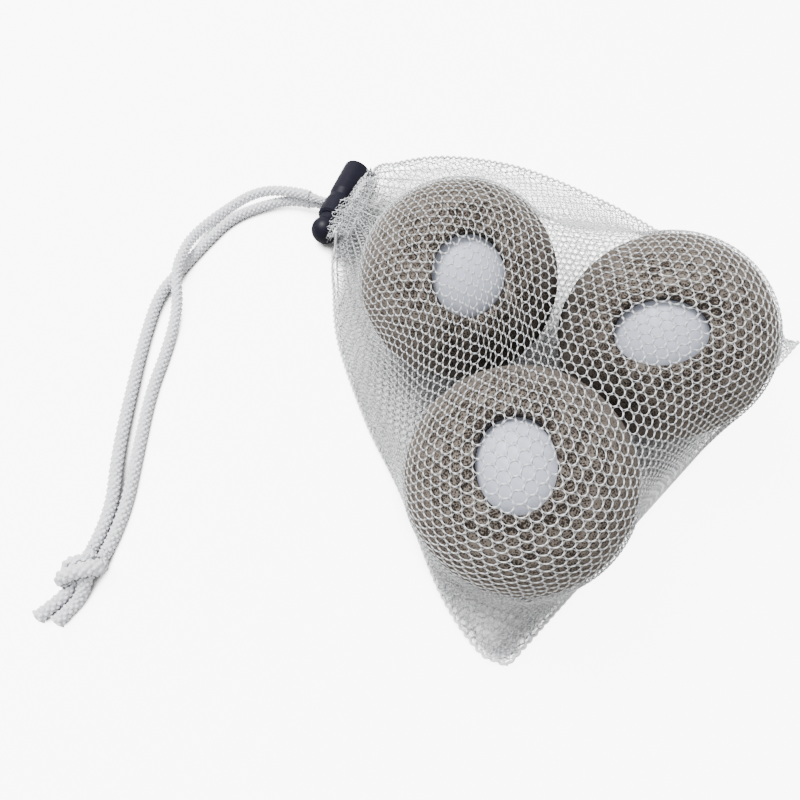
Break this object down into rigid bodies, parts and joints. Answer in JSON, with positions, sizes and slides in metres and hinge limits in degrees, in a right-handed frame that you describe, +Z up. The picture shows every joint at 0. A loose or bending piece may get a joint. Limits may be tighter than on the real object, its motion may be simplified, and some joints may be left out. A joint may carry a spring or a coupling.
{
  "type": "mesh ball bag",
  "caption": "drawstring bag of white hexagonal mesh holding foam balls with hard cores, cinched by a round braided cord in a sprung cord lock, with a knotted carrying loop",
  "frame": {"origin": "on the table under the middle of the bag and its cord lock, the free cord left out", "axes": "+Z up from the table, +Y from the sewn bottom to the cinched mouth, +X to the right as seen from above with the mouth away from the viewer"},
  "size_m": [0.2409, 0.1895, 0.0626],
  "materials": {
    "foam": "matt open-cell foam with fine dark pores",
    "core": "smooth white hard core",
    "net": "white knitted polyester mesh with hexagonal holes",
    "seam": "white overlocked seam thread",
    "cord": "white round braided polyester cord",
    "lock_plastic": "satin moulded plastic, very dark navy",
    "spring_steel": "bright spring wire"
  },
  "bodies": {
    "bag": {"front_panel": "net", "back_panel": "net", "bottom_seam": "seam", "side_seam_left": "seam", "side_seam_right": "seam", "mouth_hem": "net", "mouth_frill": "net", "drawcord_loop": "cord", "cord_strand_upper": "cord", "cord_strand_lower": "cord", "end_knot": "cord", "cord_tail_upper": "cord", "cord_tail_lower": "cord"},
    "ball_1": {"ball_1_foam": "foam", "ball_1_core": "core"},
    "ball_2": {"ball_2_foam": "foam", "ball_2_core": "core"},
    "ball_3": {"ball_3_foam": "foam", "ball_3_core": "core"},
    "cord_lock": {"cord_lock_barrel": "lock_plastic", "cord_lock_spring": "spring_steel"},
    "plunger": {"cord_lock_plunger": "lock_plastic"}
  },
  "joints": [
    {"name": "ball_1_turn", "type": "hinge", "parent": "bag", "child": "ball_1", "pos_m": [-0.0085, 0.00255, 0.0313], "axis": [0, 0, 1], "continuous": true},
    {"name": "ball_2_turn", "type": "hinge", "parent": "bag", "child": "ball_2", "pos_m": [0.0195, -0.05345, 0.0313], "axis": [0, 0, 1], "continuous": true},
    {"name": "ball_3_turn", "type": "hinge", "parent": "bag", "child": "ball_3", "pos_m": [-0.0441, -0.05345, 0.0313], "axis": [0, 0, 1], "continuous": true},
    {"name": "lock_slide", "type": "slide", "parent": "bag", "child": "cord_lock", "axis": [-0.4384, 0.8988, 0], "range_m": [0, 0.005]},
    {"name": "plunger_press", "type": "slide", "parent": "cord_lock", "child": "plunger", "axis": [0.8988, 0.4384, 0], "range_m": [0, 0.002], "stiffness_N_per_m": 800, "springref_m": -0.004, "deforming": ["cord_lock_spring"]}
  ]
}
